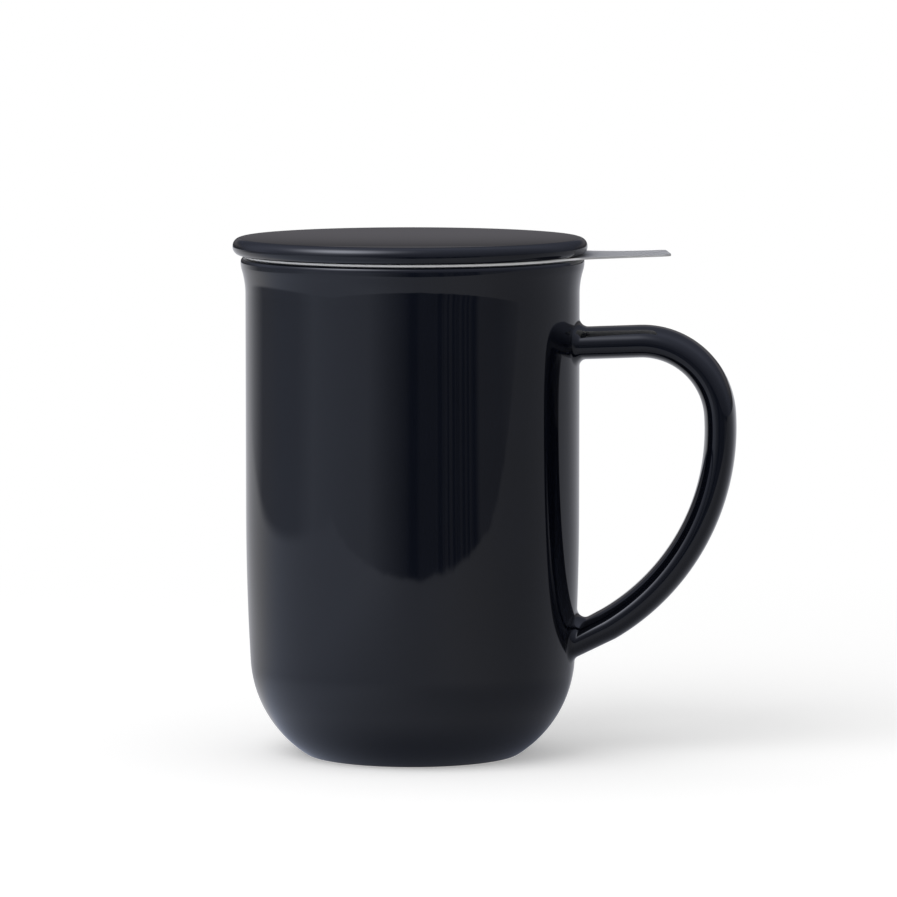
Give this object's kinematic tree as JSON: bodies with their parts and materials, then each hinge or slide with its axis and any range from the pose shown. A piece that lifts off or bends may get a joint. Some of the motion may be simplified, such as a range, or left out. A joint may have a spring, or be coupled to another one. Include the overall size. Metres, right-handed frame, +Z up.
{
  "type": "tea mug with infuser and lid",
  "caption": "Tall glazed porcelain tea mug with an ear handle, a lift-out stainless steel infuser basket with a flat lift tab, and a loose disc lid.",
  "frame": {"origin": "centre of the mug's foot, on the mug's axis, in the plane that the foot stands on", "axes": "+Z up along the mug's axis, +X from the axis towards the handle and the lift tab, +Y across, away from the viewer of the picture"},
  "size_m": [0.1273, 0.0896, 0.131],
  "materials": {
    "glaze_mug": "glossy dark navy glaze over porcelain",
    "glaze_lid": "glossy dark navy glaze over porcelain",
    "rim_steel": "brushed stainless sheet",
    "basket_steel": "satin stainless sheet with cut slots and holes"
  },
  "bodies": {
    "mug": {"mug_body": "glaze_mug", "mug_handle": "glaze_mug"},
    "infuser": {"infuser_rim": "rim_steel", "infuser_wall": "basket_steel", "infuser_base": "basket_steel"},
    "lid": {"lid": "glaze_lid"}
  },
  "joints": [
    {"name": "infuser_lift", "type": "slide", "parent": "mug", "child": "infuser", "axis": [0, 0, 1], "range_m": [0, 0.1]},
    {"name": "lid_lift", "type": "slide", "parent": "infuser", "child": "lid", "axis": [0, 0, 1], "range_m": [0, 0.06]}
  ]
}
